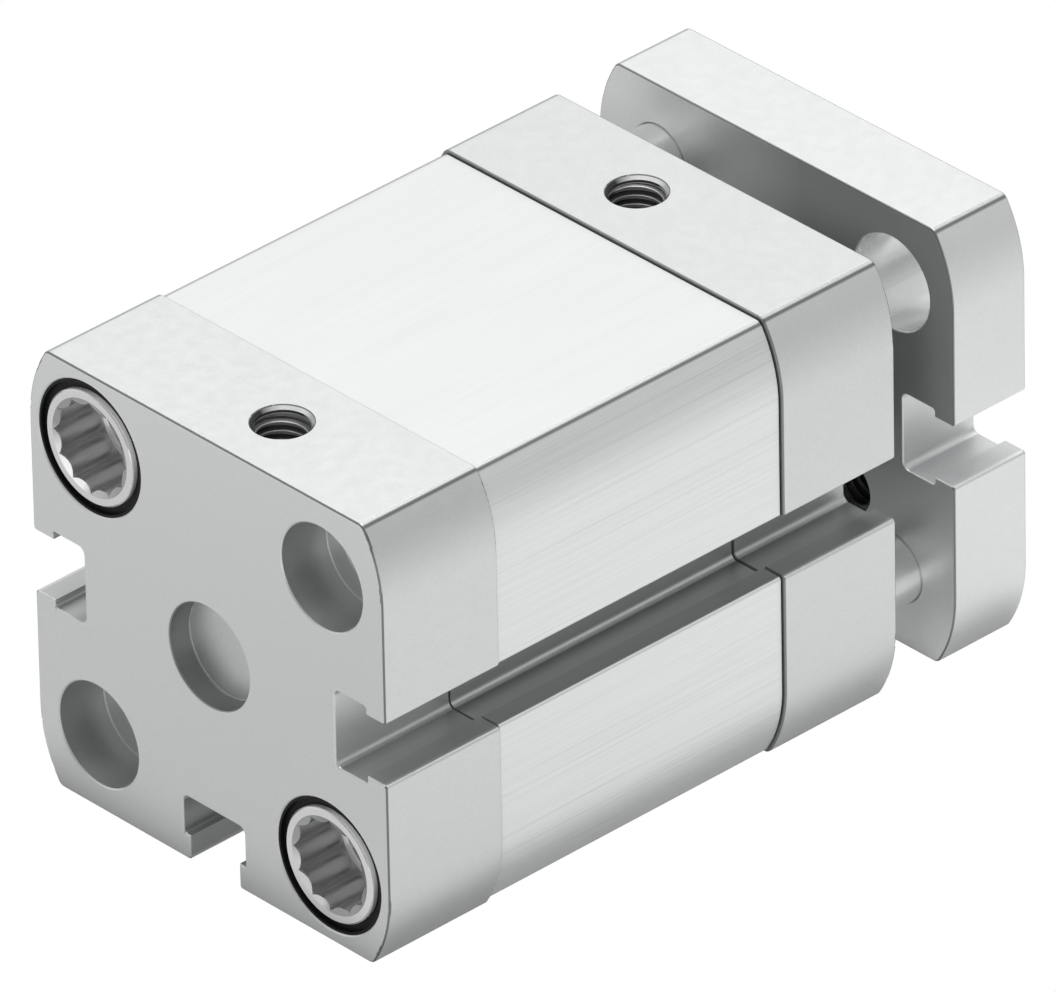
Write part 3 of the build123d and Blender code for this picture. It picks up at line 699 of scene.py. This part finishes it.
def turned_ring(name, outline):
    bpy.ops.object.select_all(action="DESELECT")
    bpy.ops.mesh.primitive_circle_add(vertices=len(outline), radius=1.0)
    ring = bpy.context.object
    ring.name = name
    for point, (radius, height) in zip(ring.data.vertices, outline):
        point.co = (radius, 0.0, height)
    sweep = ring.modifiers.new("turning", "SCREW")
    sweep.axis = "Z"
    sweep.angle = math.tau
    sweep.steps = ring_steps
    sweep.render_steps = ring_steps
    sweep.use_merge_vertices = True
    sweep.merge_threshold = 0.000001
    bpy.ops.object.modifier_apply(modifier="turning")
    bpy.ops.object.mode_set(mode="EDIT")
    bpy.ops.mesh.select_all(action="SELECT")
    bpy.ops.mesh.normals_make_consistent(inside=False)
    bpy.ops.object.mode_set(mode="OBJECT")
    return ring


def select_only(piece):
    bpy.ops.object.select_all(action="DESELECT")
    piece.select_set(True)
    bpy.context.view_layer.objects.active = piece


def settle(piece, place, turn=0.0):
    select_only(piece)
    piece.rotation_euler = (0.0, turn, 0.0)
    piece.location = place
    bpy.ops.object.transform_apply(location=True, rotation=True, scale=True)


def finish_thread(ridge):
    ridge.data.materials.clear()
    ridge.data.materials.append(tapped)
    select_only(ridge)
    bpy.ops.object.shade_smooth_by_angle(angle=math.radians(sharp_edge))


tapped, tree, shader = finish_named("tapped_aluminium", 0.75)
cuts = grain(tree, scale=4000.0)
from_port = figure(tree, "MINIMUM", *[from_axis(tree, along_z, (x, y, 0.0))
                                      for x, y, turns in port_threads.values()])
height = axes_of(tree, "Object")[2]
upward = axes_of(tree, "Normal")[2]
at_mouth = figure(tree, "GREATER_THAN", height, half_section + neck_end - mouth_margin)
on_lip = figure(tree, "LESS_THAN", height, half_section + neck_end + lip_height)
on_cone = figure(tree, "GREATER_THAN", upward, cone_tilt)
on_neck = figure(tree, "SUBTRACT", 1.0, on_cone)
to_front = turned_to(tree, front_way)
to_right = turned_to(tree, right_way)
cone_light = largest(tree, spread(tree, to_front, 0.0, 1.0, *cone_front_turn),
                     spread(tree, to_right, 0.0, cone_right_light, *cone_right_turn))
neck_light = largest(tree, spread(tree, to_right, neck_dim, 1.0, *neck_turn), on_lip)
mouth_light = figure(tree, "ADD", product(tree, on_cone, cone_light),
                     product(tree, on_neck, neck_light))
on_crest = figure(tree, "LESS_THAN", from_port, crest_radius)
light = largest(tree, product(tree, at_mouth, mouth_light), product(tree, on_crest, crest_light))
# The tapped metal is painted dark grey for shade, darker still at the mouth, with painted
# highlights on the thread's crest, on the neck's lip, and on the sides of the mouth's cone and neck
# that face along front_way and right_way
shaded_cut_metal = mottle(tree, cuts, dark=grey(0.11), light=grey(0.14))
lightened = tree.nodes.new("ShaderNodeMix")
lightened.data_type = "RGBA"
lightened.inputs["B"].default_value = (*silver(0.92), 1.0)
tree.links.new(light, lightened.inputs["Factor"])
tree.links.new(darken(tree, shaded_cut_metal, at_mouth, grey(mouth_shade)), lightened.inputs["A"])
tree.links.new(lightened.outputs["Result"], shader.inputs["Base Color"])
tree.links.new(spread(tree, cuts, low=0.36, high=0.42), shader.inputs["Roughness"])
for name, (x, y, turns) in port_threads.items():
    ridge = thread_ridge(name, thread_outer, thread_inner, thread_pitch, turns)
    settle(ridge, (0.0, 0.0, neck_end - thread_pitch * turns))
    mouth = turned_ring(name + "_mouth", ((thread_outer, mouth_start), (neck_radius, cone_end),
                                          (neck_radius, neck_end), (thread_outer, neck_end)))
    select_only(ridge)
    mouth.select_set(True)
    bpy.ops.object.join()
    settle(ridge, (x, y, half_section))
    finish_thread(ridge)
    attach(ridge, "housing")

# The yoke plate has four holes tapped M5 right through it for the load. Their ridges are made
# like those of the ports, and each lies along one of the plate's bores.
plate_rear = 0.06015
plate_inset = 0.0003
plate_turns = 9
tapped_reach = 0.011 / math.sqrt(2.0)
for up, left, name in ((1, 1, "upper_left"), (1, -1, "upper_right"),
                       (-1, 1, "lower_left"), (-1, -1, "lower_right")):
    ridge = thread_ridge(name + "_plate_thread", thread_outer, thread_inner, thread_pitch,
                         plate_turns)
    settle(ridge, (plate_rear + plate_inset, left * tapped_reach, up * tapped_reach),
           turn=math.radians(90.0))
    finish_thread(ridge)
    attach(ridge, "slider")
